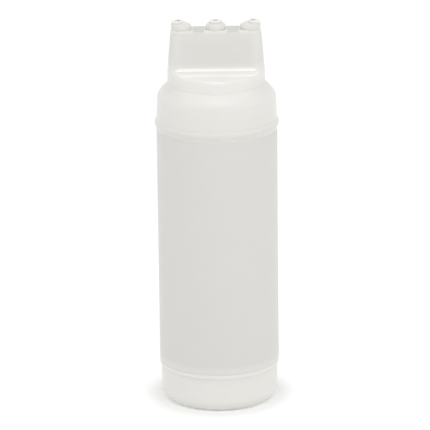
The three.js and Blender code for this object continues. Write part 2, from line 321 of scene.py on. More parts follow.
def body_inside():
    corner = BODY_CORNER - BODY_WALL / 2
    reach = BODY_RADIUS - BODY_WALL - corner
    outline = [(NECK_BORE, BODY_TOP - BODY_WALL)]
    outline += arc(reach, BODY_TOP - BODY_WALL - corner, corner, 90, 0)
    outline += arc(reach, BODY_BOTTOM + BODY_WALL + corner, corner, 0, -90)
    return outline + [(NECK_BORE, BODY_BOTTOM + BODY_WALL)]


def make_body():
    body = turned("bottle_shell", body_outside() + body_inside())
    combine(body, thread_ridge("upper_ridge", NECK_RADIUS, 1, neck_start, False), "UNION")
    combine(body, thread_ridge("lower_ridge", NECK_RADIUS, 1, neck_start, True), "UNION")
    soften(body)
    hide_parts("bottle_body")
    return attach(body, "bottle")


bottle_shell = make_body()
print("bottle_shell faces:", len(bottle_shell.data.polygons))

# %% [markdown]
# ## The refill cap
# The cap is a cup that is screwed on from below. Its rim is as wide as the body, it steps in just
# under the rim, and its foot is well rounded. A small ring stands up from its floor to hold the
# seal, and a shallow groove runs round its underside. Bevels on a cylinder would give one radius
# everywhere, so each corner gets its own arc in a turned outline.

# %% Refill cap sizes
CAP_FOOT_RADIUS = 6.5 * mm
CAP_FOOT_STEPS = 16
CAP_RIM_EDGE = 0.3 * mm
CAP_RIM_EDGE_STEPS = 5
CAP_RIM_HEIGHT = 1.6 * mm
CAP_RIM_SLOPE = 1.8 * mm
CAP_RIM_SLOPE_STEPS = 8
CAP_RIM_FOOT = CAP_HEIGHT - CAP_RIM_HEIGHT
CAP_RIM_TOP = BODY_BOTTOM - VISIBLE_GAP
GROOVE_RADIUS = 21 * mm
GROOVE_WIDTH = 1.6 * mm
GROOVE_DEPTH = 0.5 * mm
print("cap rim foot:", round(CAP_RIM_FOOT / mm, 2), "mm")


# %% Refill cap
def cap_outside():
    outline = [(0, 0), (GROOVE_RADIUS - GROOVE_WIDTH / 2, 0)]
    outline += [(GROOVE_RADIUS, GROOVE_DEPTH), (GROOVE_RADIUS + GROOVE_WIDTH / 2, 0)]
    foot_centre = CAP_RADIUS - CAP_FOOT_RADIUS
    outline += arc(foot_centre, CAP_FOOT_RADIUS, CAP_FOOT_RADIUS, -90, 0, CAP_FOOT_STEPS)
    middle = CAP_RIM_FOOT - CAP_RIM_SLOPE / 2
    outline += bend((
        (CAP_RADIUS, CAP_RIM_FOOT - CAP_RIM_SLOPE),
        (CAP_RADIUS, middle),
        (CAP_RIM_RADIUS, middle),
        (CAP_RIM_RADIUS, CAP_RIM_FOOT),
    ), CAP_RIM_SLOPE_STEPS)
    edge = CAP_RIM_EDGE
    return outline + arc(CAP_RIM_RADIUS - edge, CAP_RIM_TOP - edge, edge, 0, 90, CAP_RIM_EDGE_STEPS)


def cap_inside():
    corner = CLOSURE_CORNER
    outline = [(CLOSURE_BORE, CAP_RIM_TOP)]
    outline += arc(CLOSURE_BORE - corner, CAP_FLOOR + corner, corner, 0, -90)
    outline += [(PLUG_RADIUS, CAP_FLOOR), (PLUG_RADIUS, CAP_FLOOR + PLUG_DEPTH)]
    outline += [(CHAMBER_RADIUS, CAP_FLOOR + PLUG_DEPTH), (CHAMBER_RADIUS, CAP_FLOOR)]
    return outline + [(0, CAP_FLOOR)]


def make_refill_cap():
    cap = turned("refill_cap_shell", cap_outside() + cap_inside(), closed=False)
    combine(cap, thread_ridge("cap_ridge", CLOSURE_BORE, -1, closure_start, True), "UNION")
    soften(cap)
    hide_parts("refill_cap")
    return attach(cap, "refill_cap")


refill_cap_shell = make_refill_cap()
print("refill_cap_shell faces:", len(refill_cap_shell.data.polygons))

# %% [markdown]
# ## The lid
# The lid starts as a round skirt and ends as a flat spout. A loft between two shapes would lose
# the stepped foot between them. Here a circle is extruded upwards ring by ring, and each ring is
# pressed to the outline of its level: the drum's round, cut off flat front and back with rounded
# corners. The same walk goes up the inside, so the wall is even and the skin is one closed surface.

# %% Skirt and drum sizes
BEAD_RADIUS = 3.1 * mm
BEAD_UNDERCUT = math.radians(32)
BEAD_OUTER = lid_high.x
VISIBLE_RIM = BODY_TOP + VISIBLE_GAP
SKIRT_INSET = 0.085 * mm
SKIRT_TAPER = 0.65 * mm
SKIRT_HEIGHT = 18 * mm
SKIRT_FOOT = BODY_RADIUS - SKIRT_INSET
SKIRT_HEAD = SKIRT_FOOT - SKIRT_TAPER
SKIRT_TOP = LID_RIM + SKIRT_HEIGHT
ROOF = 4.2 * mm
SHOULDER_TOP = LID_CEILING + ROOF
DRUM_WALL = 1.8 * mm
DRUM_HEIGHT = 8 * mm
DRUM_EDGE = 2 * mm
DRUM_CROWN = 0.35 * mm
DRUM_RADIUS = CHAMBER_RADIUS + DRUM_WALL
DRUM_TOP = SHOULDER_TOP + DRUM_HEIGHT
CREASE_RADIUS = 0.9 * mm
CREASE_DIP = 0.15 * mm
CREASE_MIDDLE = 0.3
print("shoulder top:", round(SHOULDER_TOP / mm, 2), "mm, drum top:", round(DRUM_TOP / mm, 2), "mm")

# %% Spout sizes
SPOUT_HEIGHT = 32.6 * mm
SPOUT_TAPER = 2.2 * mm
SPOUT_TAPER_POWER = 1.3
SPOUT_WALL = 1.8 * mm
SPOUT_CORNER = 6 * mm
SPOUT_EDGE = 1.8 * mm
FOOT_RISE = 3.2 * mm
FOOT_FILLET = 1 * mm
LEDGE_RISE = 2.2 * mm
LEDGE_DEPTH = 19.4 * mm
LEDGE_EDGE = 1.2 * mm
FACE_TOP_DEPTH = 7.25 * mm
FACE_FOOT_DEPTH = 12.9 * mm
SPOUT_TOP = SHOULDER_TOP + SPOUT_HEIGHT
FACE_HEAD = SPOUT_TOP - SPOUT_EDGE
FACE_FOOT = DRUM_TOP + FOOT_RISE
LEDGE_TOP = DRUM_TOP + LEDGE_RISE
print("spout top:", round(SPOUT_TOP / mm, 2), "mm")

# %% Outline of one level
FULLEST_CORNER = 0.92


def level_radius(angle, round_radius, half_depth):
    """Distance from the axis to the outline of a level, in the direction of an angle."""
    x = abs(math.cos(angle))
    y = abs(math.sin(angle))
    if half_depth >= round_radius:
        return round_radius
    corner = min(SPOUT_CORNER, half_depth * FULLEST_CORNER)
    middle_y = half_depth - corner
    middle_x = math.sqrt(max((round_radius - corner) ** 2 - middle_y**2, 0))
    if y * middle_x <= x * middle_y:
        return round_radius
    if y * middle_x >= x * half_depth:
        return half_depth / y
    along = middle_x * x + middle_y * y
    return along + math.sqrt(max(corner**2 - (middle_x**2 + middle_y**2 - along**2), 0))


def at_height(profile, height):
    """Radius of a profile at a height, read between its points."""
    for (r0, z0), (r1, z1) in zip(profile, profile[1:]):
        if z0 <= height <= z1 and z1 > z0:
            return r0 + (r1 - r0) * (height - z0) / (z1 - z0)
    return profile[-1][0] if height >= profile[-1][1] else profile[0][0]


print("spout's half width at the foot:", round(level_radius(0, DRUM_RADIUS, FACE_FOOT_DEPTH) / mm, 2), "mm")

# %% [markdown]
# Two profiles steer the walk: the half width and the half depth at each height. They share the
# bead, the skirt and the shoulder. Above the drum the sides only taper, while the front steps
# back over the ledge and rises as the spout's slanted face.

# %% Skirt profile
SHOULDER_START = (0.035, 0.35)
SHOULDER_END = (0.715, 0.514)
BEAD_STEPS = 20
SHOULDER_STEPS = 18


def skirt_profile():
    """Bead, tapered skirt and shoulder, up to the crease at the drum's foot."""
    centre = BEAD_OUTER - BEAD_RADIUS
    meet = math.degrees(math.acos((SKIRT_FOOT - centre) / BEAD_RADIUS))
    flush = -math.degrees(math.acos((BODY_RADIUS - centre) / BEAD_RADIUS))
    middle = LID_RIM + BEAD_RADIUS * math.cos(BEAD_UNDERCUT)
    profile = [(BODY_RADIUS, VISIBLE_RIM)]
    profile += arc(centre, middle, BEAD_RADIUS, flush, meet, BEAD_STEPS)
    rise = SHOULDER_TOP - SKIRT_TOP
    run = SKIRT_HEAD - DRUM_RADIUS
    profile += bend((
        (SKIRT_HEAD, SKIRT_TOP),
        (SKIRT_HEAD - run * SHOULDER_START[0], SKIRT_TOP + rise * SHOULDER_START[1]),
        (DRUM_RADIUS + run * SHOULDER_END[0], SKIRT_TOP + rise * SHOULDER_END[1]),
        (DRUM_RADIUS + CREASE_RADIUS, SHOULDER_TOP - CREASE_DIP),
    ), SHOULDER_STEPS)
    part = CREASE_RADIUS * CREASE_MIDDLE
    return profile + [
        (DRUM_RADIUS + part, SHOULDER_TOP + part),
        (DRUM_RADIUS, SHOULDER_TOP + CREASE_RADIUS),
    ]


print("skirt profile points:", len(skirt_profile()))

# %% Side profile
SIDE_STEPS = 16


def spout_side(height):
    """Half width of the spout, which tapers a little faster towards its top."""
    foot = DRUM_TOP - DRUM_EDGE
    share = min(max((height - foot) / (SPOUT_TOP - foot), 0), 1)
    return DRUM_RADIUS - SPOUT_TAPER * share**SPOUT_TAPER_POWER


def side_profile():
    """Half width of the lid at each height."""
    foot = DRUM_TOP - DRUM_EDGE
    heights = [foot + (FACE_HEAD - foot) * i / SIDE_STEPS for i in range(SIDE_STEPS + 1)]
    edge = arc(spout_side(FACE_HEAD) - SPOUT_EDGE, FACE_HEAD, SPOUT_EDGE, 0, 90)
    return skirt_profile() + [(spout_side(z), z) for z in heights] + edge[1:]


print("spout's half width at the top:", round(spout_side(SPOUT_TOP) / mm, 2), "mm")

# %% Front profile
DRUM_EDGE_STEPS = 10
CROWN_REACH = 1.5 * mm
CROWN_STEPS = 5
LEDGE_SOFTNESS = 0.1 * mm
LEDGE_STEPS = 6
FILLET_STEPS = 8
FILLET_START = (0.8, 0.9)
FILLET_END = (0.15, 0.25)


def face_depth(height):
    """Half depth of the spout's slanted face."""
    slope = (FACE_FOOT_DEPTH - FACE_TOP_DEPTH) / (FACE_HEAD - FACE_FOOT)
    return FACE_TOP_DEPTH + slope * (FACE_HEAD - height)


def front_profile():
    """Half depth of the lid at each height: drum edge, ledge, foot fillet, flat face, top edge."""
    profile = skirt_profile()
    drum_edge = DRUM_EDGE
    profile += arc(DRUM_RADIUS - drum_edge, DRUM_TOP - drum_edge, drum_edge, 0, 90, DRUM_EDGE_STEPS)
    outer = LEDGE_DEPTH + LEDGE_EDGE / 2
    crown = DRUM_TOP + DRUM_CROWN
    riser = (outer - LEDGE_SOFTNESS, LEDGE_TOP - LEDGE_EDGE)
    rise = ((outer + CROWN_REACH, crown), (outer, crown), (outer, crown), riser)
    profile += bend(rise, CROWN_STEPS)
    profile += bend((
        riser,
        (LEDGE_DEPTH, LEDGE_TOP - 2 * LEDGE_SOFTNESS),
        (LEDGE_DEPTH, LEDGE_TOP - LEDGE_SOFTNESS),
        (LEDGE_DEPTH - LEDGE_EDGE, LEDGE_TOP),
    ), LEDGE_STEPS)[1:]
    fillet = FOOT_FILLET
    profile += bend((
        (FACE_FOOT_DEPTH + fillet, FACE_FOOT - fillet),
        (FACE_FOOT_DEPTH + fillet * FILLET_START[0], FACE_FOOT - fillet * FILLET_START[1]),
        (FACE_FOOT_DEPTH + fillet * FILLET_END[0], FACE_FOOT - fillet * FILLET_END[1]),
        (FACE_FOOT_DEPTH, FACE_FOOT),
    ), FILLET_STEPS)
    return profile + arc(FACE_TOP_DEPTH - SPOUT_EDGE, FACE_HEAD, SPOUT_EDGE, 0, 90)


print("front profile points:", len(front_profile()))

# %% [markdown]
# The outer walk and the inner walk both start at the rim's inner edge. Each ring is a copy of the
# one before it, made by extrude, with its corners moved out or in along their own direction.

# %% Walk the rings
RING_POINTS = 256
INSIDE_LEVELS = 10
HEIGHT_DIGITS = 7


def next_ring(bm, edges, round_radius, half_depth, height):
    """Extrudes the last ring and presses the new one to the outline of its level."""
    made = bmesh.ops.extrude_edge_only(bm, edges=edges)["geom"]
    for vert in (item for item in made if isinstance(item, bmesh.types.BMVert)):
        angle = math.atan2(vert.co.y, vert.co.x)
        reach = level_radius(angle, round_radius, half_depth)
        vert.co = (reach * math.cos(angle), reach * math.sin(angle), height)
    return [item for item in made if isinstance(item, bmesh.types.BMEdge)]


def walk_outside(bm, ring):
    side = side_profile()
    front = front_profile()
    for height in sorted({round(z, HEIGHT_DIGITS) for _, z in side + front}):
        ring = next_ring(bm, ring, at_height(side, height), at_height(front, height), height)
    bmesh.ops.holes_fill(bm, edges=ring, sides=0)


def walk_inside(bm, ring):
    corner = CLOSURE_CORNER
    chamber_top = DRUM_TOP - DRUM_WALL
    inside = [(CLOSURE_BORE, LID_CEILING - corner)]
    inside += arc(CLOSURE_BORE - corner, LID_CEILING - corner, corner, 0, 90)
    inside += [(PLUG_RADIUS, LID_CEILING), (PLUG_RADIUS, LID_CEILING - PLUG_DEPTH)]
    inside += [(CHAMBER_RADIUS, LID_CEILING - PLUG_DEPTH), (CHAMBER_RADIUS, chamber_top)]
    for radius, height in inside:
        ring = next_ring(bm, ring, radius, radius, height)
    for level in range(INSIDE_LEVELS + 1):
        height = chamber_top + (SPOUT_TOP - SPOUT_WALL - chamber_top) * level / INSIDE_LEVELS
        inset = SPOUT_WALL + (SPOUT_EDGE / 2 if level == INSIDE_LEVELS else 0)
        ring = next_ring(bm, ring, spout_side(height) - inset, face_depth(height) - inset, height)
    bmesh.ops.holes_fill(bm, edges=ring, sides=0)


def lid_skin():
    bm = bmesh.new()
    placed = Matrix.Translation((0, 0, VISIBLE_RIM))
    bmesh.ops.create_circle(
        bm, cap_ends=False, radius=CLOSURE_BORE, segments=RING_POINTS, matrix=placed,
    )
    rim = list(bm.edges)
    walk_outside(bm, rim)
    walk_inside(bm, rim)
    bmesh.ops.recalc_face_normals(bm, faces=bm.faces)
    return finish_mesh(bm, "lid_shell")


lid_shell = lid_skin()
print("lid skin faces:", len(lid_shell.data.polygons))

# %% [markdown]
# ## Pads and nozzles
# Each nozzle stands on a low domed pad. The outer two sit near the ends of the spout and lean
# away from the middle one, so that three separate lines of sauce come out. A turned nozzle could
# be tipped as a whole, but then its pad would tip too. So one circle is extruded along the
# nozzle, and placed, tipped and scaled at each level. The bores are cut last.

# %% Leaning solids
NOZZLE_POINTS = 64


def leaning_solid(name, levels):
    """A closed solid through circles given as x, height, radius and lean."""
    bm = bmesh.new()
    bmesh.ops.create_circle(bm, cap_ends=False, radius=1, segments=NOZZLE_POINTS)
    ring = list(bm.edges)
    bottom = ring
    placed = Matrix.Identity(4)
    for number, (x, height, radius, lean) in enumerate(levels):
        tipped = Matrix.Rotation(lean, 4, "Y") @ Matrix.Scale(radius, 4)
        place = Matrix.Translation((x, 0, height)) @ tipped
        if number:
            ring = bmesh.ops.extrude_edge_only(bm, edges=ring)["geom"]
            ring = [item for item in ring if isinstance(item, bmesh.types.BMEdge)]
        verts = list({vert for edge in ring for vert in edge.verts})
        bmesh.ops.transform(bm, matrix=place @ placed.inverted(), verts=verts)
        placed = place
    bmesh.ops.holes_fill(bm, edges=bottom, sides=0)
    bmesh.ops.holes_fill(bm, edges=ring, sides=0)
    bmesh.ops.recalc_face_normals(bm, faces=bm.faces)
    return finish_mesh(bm, name)


print("sides of a nozzle:", NOZZLE_POINTS)

# %% Pads, nozzles and bores
PAD_SPACING = 19.8 * mm
PAD_RADIUS = 6 * mm
PAD_WALL = 0.8 * mm
PAD_HEIGHT = 3.5 * mm
PAD_STEPS = 8
NOZZLE_RADIUS = 3.5 * mm
NOZZLE_BORE = 1.6 * mm
NOZZLE_HEIGHT = 4.8 * mm
NOZZLE_SPREAD = 2.4 * mm
NOZZLE_LEAN = math.radians(5)
NOZZLE_EDGE = 0.5 * mm
NOZZLE_EDGE_STEPS = 4


def nozzle_levels(side):
    pad_x = side * PAD_SPACING
    tip_x = pad_x + side * NOZZLE_SPREAD
    lean = side * NOZZLE_LEAN
    levels = [(pad_x, SPOUT_TOP - SPOUT_WALL / 2, PAD_RADIUS, 0)]
    for step in range(PAD_STEPS + 1):
        angle = math.pi / 2 * step / PAD_STEPS
        inwards = 1 - math.cos(angle)
        upwards = math.sin(angle)
        x = pad_x + (tip_x - pad_x) * inwards
        height = SPOUT_TOP + PAD_WALL + (PAD_HEIGHT - PAD_WALL) * upwards
        radius = PAD_RADIUS + (NOZZLE_RADIUS - PAD_RADIUS) * inwards
        levels.append((x, height, radius, lean * upwards))
    for step in range(NOZZLE_EDGE_STEPS + 1):
        angle = math.pi / 2 * step / NOZZLE_EDGE_STEPS
        height = SPOUT_TOP + NOZZLE_HEIGHT - NOZZLE_EDGE * (1 - math.sin(angle))
        levels.append((tip_x, height, NOZZLE_RADIUS - NOZZLE_EDGE * (1 - math.cos(angle)), lean))
    return levels


def bore_levels(side):
    lean = side * NOZZLE_LEAN
    foot_x = side * (PAD_SPACING - NOZZLE_SPREAD / 2)
    tip_x = side * (PAD_SPACING + NOZZLE_SPREAD)
    foot = SPOUT_TOP - SPOUT_WALL - SPOUT_EDGE
    tip = SPOUT_TOP + NOZZLE_HEIGHT + NOZZLE_BORE
    return [(foot_x, foot, NOZZLE_BORE, lean), (tip_x, tip, NOZZLE_BORE, lean)]


for side in (-1, 0, 1):
    combine(lid_shell, leaning_solid("nozzle", nozzle_levels(side)), "UNION")
for side in (-1, 0, 1):
    combine(lid_shell, leaning_solid("bore", bore_levels(side)), "DIFFERENCE")
combine(lid_shell, thread_ridge("lid_ridge", CLOSURE_BORE, -1, closure_start, False), "UNION")
soften(lid_shell)
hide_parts("dispensing_lid")
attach(lid_shell, "lid")
print("lid faces:", len(lid_shell.data.polygons))

# %% [markdown]
# ## The seal rings
# The two flat rings keep the closures tight and are hidden while the bottle is closed. They are
# turned like the body. Their broken edges are short arcs in the outline, which needs no bevel.

# %% Seal rings
SEAL_EDGE = 0.25 * mm
SEAL_EDGE_STEPS = 3


def make_seal(name, node, body):
    low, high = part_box(node)
    edge = SEAL_EDGE
    outer = high.x - edge
    inner = PLUG_RADIUS + SEAT + edge
    outline = arc(outer, low.z + edge, edge, -90, 0, SEAL_EDGE_STEPS)
    outline += arc(outer, high.z - edge, edge, 0, 90, SEAL_EDGE_STEPS)
    outline += arc(inner, high.z - edge, edge, 90, 180, SEAL_EDGE_STEPS)
    outline += arc(inner, low.z + edge, edge, 180, 270, SEAL_EDGE_STEPS)
    ring = turned(name, outline)
    soften(ring)
    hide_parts(node)
    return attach(ring, body)


seals = [
    make_seal("lid_seal_ring", "lid_seal", "lid_seal"),
    make_seal("refill_seal_ring", "refill_seal", "refill_seal"),
]
print("seals:", [seal.name for seal in seals])

# %% [markdown]
# ## Writing a material as an expression
# Shader maths is easier to read as Python. A small class wraps a socket, and each operator adds
# the Math node that it stands for. Every other node comes from one method.

# %% Shader maths
class Value:
    def __init__(self, tree, socket):
        self.tree = tree
        self.socket = socket

    def math(self, operation, first, second):
        return self.tree.node("ShaderNodeMath", {"operation": operation}, {0: first, 1: second})

    def __add__(self, other):
        return self.math("ADD", self, other)

    def __sub__(self, other):
        return self.math("SUBTRACT", self, other)

    def __rsub__(self, other):
        return self.math("SUBTRACT", other, self)

    def __mul__(self, other):
        return self.math("MULTIPLY", self, other)

    def __abs__(self):
        return self.math("ABSOLUTE", self, 0)

    __radd__ = __add__
    __rmul__ = __mul__


class Tree:
    """The nodes of one material or of the world."""

    def __init__(self, owner):
        owner.use_nodes = True
        self.nodes = owner.node_tree.nodes
        self.links = owner.node_tree.links
        self.nodes.clear()

    def node(self, kind, settings=None, inputs=None, output=0):
        made = self.nodes.new(kind)
        for name, value in (settings or {}).items():
            setattr(made, name, value)
        for name, value in (inputs or {}).items():
            if isinstance(value, Value):
                self.links.new(value.socket, made.inputs[name])
            else:
                made.inputs[name].default_value = value
        return Value(self, made.outputs[output]) if made.outputs else made

    def climb(self, value, low, high):
        """0 below the low limit, 1 above the high one, and a smooth rise between them."""
        limits = {"Value": value, "From Min": low, "From Max": high}
        return self.node("ShaderNodeMapRange", {"interpolation_type": "SMOOTHSTEP"}, limits)

    def band(self, value, low, full, fading, high):
        """A smooth rise from low to full and a smooth fall from fading to high."""
        return self.climb(value, low, full) * (1 - self.climb(value, fading, high))

    def axis(self, place, number):
        return self.node("ShaderNodeSeparateXYZ", None, {"Vector": place}, output=number)


print("shader helpers:", [helper.__name__ for helper in (Value, Tree)])

# %% [markdown]
# ## Milky polyethylene
# Natural polyethylene is neither clear nor white: light goes in, scatters and comes out a few
# millimetres away. Glass with fog inside would be truer and far slower. A share of subsurface
# scattering on an opaque plastic gives that softness at little cost. The tone drifts very slightly
# along the bottle, and the skin has a fine unevenness that breaks up the reflections.

# %% Polyethylene
CLOUD_SCALE = 38
CLOUD_STRETCH = (1, 1, 0.25)
CLOUD_DETAIL = 2
GRAIN_SCALE = 900
GRAIN_DETAIL = 3
GRAIN_HEIGHT = 0.2 * mm
ROUGHNESS_DRIFT = 0.08
PLASTIC_IOR = 1.51
SCATTER_SHARE = 0.25
SCATTER_COLOUR = (1, 0.97, 0.92)
SCATTER_DISTANCE = 6 * mm


def drifting_tone(tree, place, tone, cloud):
    """The plastic's colour, a little darker or lighter from place to place, and that drift."""
    stretched = tree.node(
        "ShaderNodeMapping", {"vector_type": "POINT"}, {"Vector": place, "Scale": CLOUD_STRETCH},
    )
    clouds = {"Vector": stretched, "Scale": CLOUD_SCALE, "Detail": CLOUD_DETAIL}
    drift = tree.node("ShaderNodeTexNoise", None, clouds)
    darker = tuple(c * (1 - cloud) for c in tone) + (1,)
    lighter = tuple(min(c * (1 + cloud), 1) for c in tone) + (1,)
    limits = {"Factor": drift, "A": darker, "B": lighter}
    return tree.node("ShaderNodeMix", {"data_type": "RGBA"}, limits, output=2), drift


def polyethylene(name, tone, cloud, roughness, grain, gloss, depth=None):
    """tone is the colour as it should look, and cloud is how far it varies over the surface.

    gloss is the strength of its reflections, where 0.5 is a smooth plastic and a fine matt skin
    has less. depth gives a factor for the tone at each place: less where the wall is thin and hollow
    behind, more where the plastic is thick, and painted light and painted shade where a piece's
    masks add them.
    """
    material = bpy.data.materials.new(name)
    tree = Tree(material)
    place = tree.node("ShaderNodeTexCoord", output=3)
    colour, drift = drifting_tone(tree, place, tone, cloud)
    if depth:
        parts = {0: colour, "Scale": depth(tree, place)}
        colour = tree.node("ShaderNodeVectorMath", {"operation": "SCALE"}, parts)
    grains = {"Vector": place, "Scale": GRAIN_SCALE, "Detail": GRAIN_DETAIL}
    fine = tree.node("ShaderNodeTexNoise", None, grains)
    relief = {"Height": fine, "Strength": grain, "Distance": GRAIN_HEIGHT}
    shader = tree.node("ShaderNodeBsdfPrincipled", None, {
        "Base Color": colour,
        "Roughness": roughness + drift * ROUGHNESS_DRIFT,
        "Normal": tree.node("ShaderNodeBump", None, relief),
        "IOR": PLASTIC_IOR,
        "Subsurface Weight": SCATTER_SHARE,
        "Subsurface Radius": SCATTER_COLOUR,
        "Subsurface Scale": SCATTER_DISTANCE,
        "Specular IOR Level": gloss,
    })
    tree.node("ShaderNodeOutputMaterial", None, {"Surface": shader})
    return material


def dress(piece, material):
    piece.data.materials.clear()
    piece.data.materials.append(material)


print("scatter distance:", round(SCATTER_DISTANCE / mm, 1), "mm")

# %% [markdown]
# ## Thick and thin places, painted light and painted shade
# Milky plastic looks whiter where it is thick, because more of the light comes back out, and
# greyer where only air lies behind a thin wall. True volume scattering would find this by itself,
# at a great cost in render time. Instead, each piece has a soft mask for every thick or thin
# place. Further masks paint light and shade into the tone: painted light at the lid's rim, under
# its bead, on the cap's foot and on the nozzle tips, painted shade on the bead, on the shoulder's
# flanks and on the pads, and painted highlights on the lid's ledge and fillet. The masks are read
# from the height and the distance from the middle, so that the tones hold from every side.

# %% Body and cap tones, with painted light under the bead and on the cap's foot
FOOT_BAND = 6 * mm
BODY_FOOT_GLOW = 0.08
RIM_BAND = BEAD_RADIUS / 3
# Painted light at the lid's rim and on the body just under it, against the shade of the bead.
RIM_PAINTED_LIGHT = 0.14
# Painted light on the cap's foot, against the shade next to the floor.
CAP_FOOT_PAINTED_LIGHT = 0.22


def body_tone_and_painted_light(tree, place):
    """Lighter in a band above the foot, with painted light under the lid's bead against its shade."""
    height = tree.axis(place, 2)
    foot = 1 - tree.climb(height, BODY_BOTTOM, BODY_BOTTOM + FOOT_BAND)
    # Painted light just under the lid's bead, against the shade of its overhang.
    under_bead = tree.climb(height, BODY_TOP - RIM_BAND, BODY_TOP)
    return 1 + foot * BODY_FOOT_GLOW + under_bead * RIM_PAINTED_LIGHT


def cap_foot_painted_light(tree, place):
    """Painted light: the cap's round foot is lightened towards the floor, against the shade there."""
    foot = 1 - tree.climb(tree.axis(place, 2), 0, CAP_FOOT_RADIUS / 2)
    return 1 + foot * CAP_FOOT_PAINTED_LIGHT


body_plastic = polyethylene(
    "body_polyethylene", (0.722, 0.712, 0.679), cloud=0.012,
    roughness=0.36, grain=0.12, gloss=0.1, depth=body_tone_and_painted_light,
)
closure_plastic = polyethylene(
    "closure_polyethylene", (0.792, 0.781, 0.744), cloud=0.01,
    roughness=0.3, grain=0.1, gloss=0.15, depth=cap_foot_painted_light,
)
dress(bottle_shell, body_plastic)
dress(refill_cap_shell, closure_plastic)
print("materials:", [m.name for m in bpy.data.materials])

# %% [markdown]
# The lid has the most thick and thin places. Its spout's two faces and the strips between the
# pads are thin. The drum and the roof are thick, and their lift also paints light on them. The
# rim and the nozzle tips get painted light, the bead, the shoulder's flanks and the pads get
# painted shade, and the ledge and the fillet above it get painted highlights.

# %% Tones of the skirt and the drum, with painted light and painted shade
ROOF_BLUR = 8 * mm
# Thick roof, and painted light from above: lighter from the top of the skirt upwards.
ROOF_THICKNESS_AND_TOP_LIGHT = 0.015
# Painted shade on the bead's lower half, which faces down.
BEAD_PAINTED_SHADE = 0.08
# Painted shade on the shoulder's sides, left and right of the drum.
FLANK_PAINTED_SHADE = 0.08
# Thick drum wall, and painted light on it.
DRUM_THICKNESS_AND_PAINTED_LIGHT = 0.06


def skirt_tone_and_painted_light(tree, off_centre, height):
    bead_middle = LID_RIM + BEAD_RADIUS
    # Painted light along the lid's rim, against the shade in its joint with the body.
    rim = 1 - tree.climb(height, LID_RIM, LID_RIM + RIM_BAND)
    bead = tree.band(height, LID_RIM, bead_middle, bead_middle, bead_middle + BEAD_RADIUS)
    roof = tree.climb(height, SKIRT_TOP - ROOF_BLUR, SKIRT_TOP)
    beside_drum = tree.climb(off_centre, DRUM_RADIUS / 2, DRUM_RADIUS)
    flank = beside_drum * tree.band(height, SKIRT_TOP, SHOULDER_TOP, SHOULDER_TOP, DRUM_TOP)
    crease_foot = SHOULDER_TOP - CREASE_RADIUS
    crease_head = SHOULDER_TOP + CREASE_RADIUS
    drum = tree.band(height, crease_foot, crease_head, DRUM_TOP - DRUM_EDGE, FACE_FOOT)
    # Lift for thick plastic and painted light, less the painted shade on the bead and the flanks.
    thickness_and_painted_light = rim * RIM_PAINTED_LIGHT + roof * ROOF_THICKNESS_AND_TOP_LIGHT + drum * DRUM_THICKNESS_AND_PAINTED_LIGHT
    return thickness_and_painted_light - bead * BEAD_PAINTED_SHADE - flank * FLANK_PAINTED_SHADE


print("rim glow:", RIM_PAINTED_LIGHT, "drum glow:", DRUM_THICKNESS_AND_PAINTED_LIGHT)

# %% Painted highlights at the spout's foot
# Painted highlights: one on the riser up to the ledge, one on the fillet at the face's foot.
RISER_PAINTED_HIGHLIGHT = 0.07
FILLET_PAINTED_HIGHLIGHT = 0.26


def foot_painted_highlights(tree, place, height):
    off_middle = abs(tree.axis(place, 1))
    before_face = tree.climb(off_middle, FACE_FOOT_DEPTH - FOOT_FILLET / 2, FACE_FOOT_DEPTH)
    crown = DRUM_TOP + DRUM_CROWN
    riser = tree.band(height, crown, crown + DRUM_CROWN, LEDGE_TOP - LEDGE_EDGE / 2, LEDGE_TOP)
    fillet = tree.climb(height, LEDGE_TOP + FOOT_FILLET / 10, LEDGE_TOP + FOOT_FILLET / 2)
    return before_face * (riser * RISER_PAINTED_HIGHLIGHT + fillet * FILLET_PAINTED_HIGHLIGHT)


print("riser glow:", RISER_PAINTED_HIGHLIGHT, "fillet glow:", FILLET_PAINTED_HIGHLIGHT)

# %% Tones of the spout, with painted shade on the pads and painted light on the nozzle tips
PANEL_HALF_WIDTH = 20.5 * mm
PANEL_BLUR = 1.2 * mm
PANEL_HEAD_BLUR = 6.5 * mm
PANEL_FOOT_BLUR = 5 * mm
PANEL_SHADE = 0.02
SPOUT_SHADE = 0.08
STRIP_SHADE = 0.18
# Painted shade on the pads, which face the top lamp.
PAD_PAINTED_SHADE = 0.04
# Painted light on the nozzle tips, against the shade round their bores.
TIP_PAINTED_LIGHT = 0.1


def spout_tone_and_painted_light(tree, off_centre, height):
    spout = tree.climb(height, FACE_FOOT, FACE_FOOT + PANEL_FOOT_BLUR)
    across = 1 - tree.climb(off_centre, PANEL_HALF_WIDTH - PANEL_BLUR, PANEL_HALF_WIDTH + PANEL_BLUR)
    below_head = 1 - tree.climb(height, FACE_HEAD - PANEL_HEAD_BLUR, FACE_HEAD)
    panel = across * spout * below_head
    outer_pad = PAD_SPACING - PAD_RADIUS
    between_pads = tree.band(
        off_centre, PAD_RADIUS, PAD_RADIUS + PANEL_BLUR, outer_pad - PANEL_BLUR, outer_pad,
    )
    strips = between_pads * tree.climb(height, FACE_HEAD, SPOUT_TOP)
    tip_edge = SPOUT_TOP + NOZZLE_HEIGHT - NOZZLE_EDGE
    tips = tree.climb(height, SPOUT_TOP + PAD_HEIGHT, tip_edge)
    pads = tree.climb(height, SPOUT_TOP + PAD_WALL / 2, SPOUT_TOP + PAD_HEIGHT) - tips
    # Thin walls are darker, and the pads get painted shade; the tips get painted light.
    thin_walls_and_painted_shade = spout * SPOUT_SHADE + panel * PANEL_SHADE + strips * STRIP_SHADE + pads * PAD_PAINTED_SHADE
    return tips * TIP_PAINTED_LIGHT - thin_walls_and_painted_shade


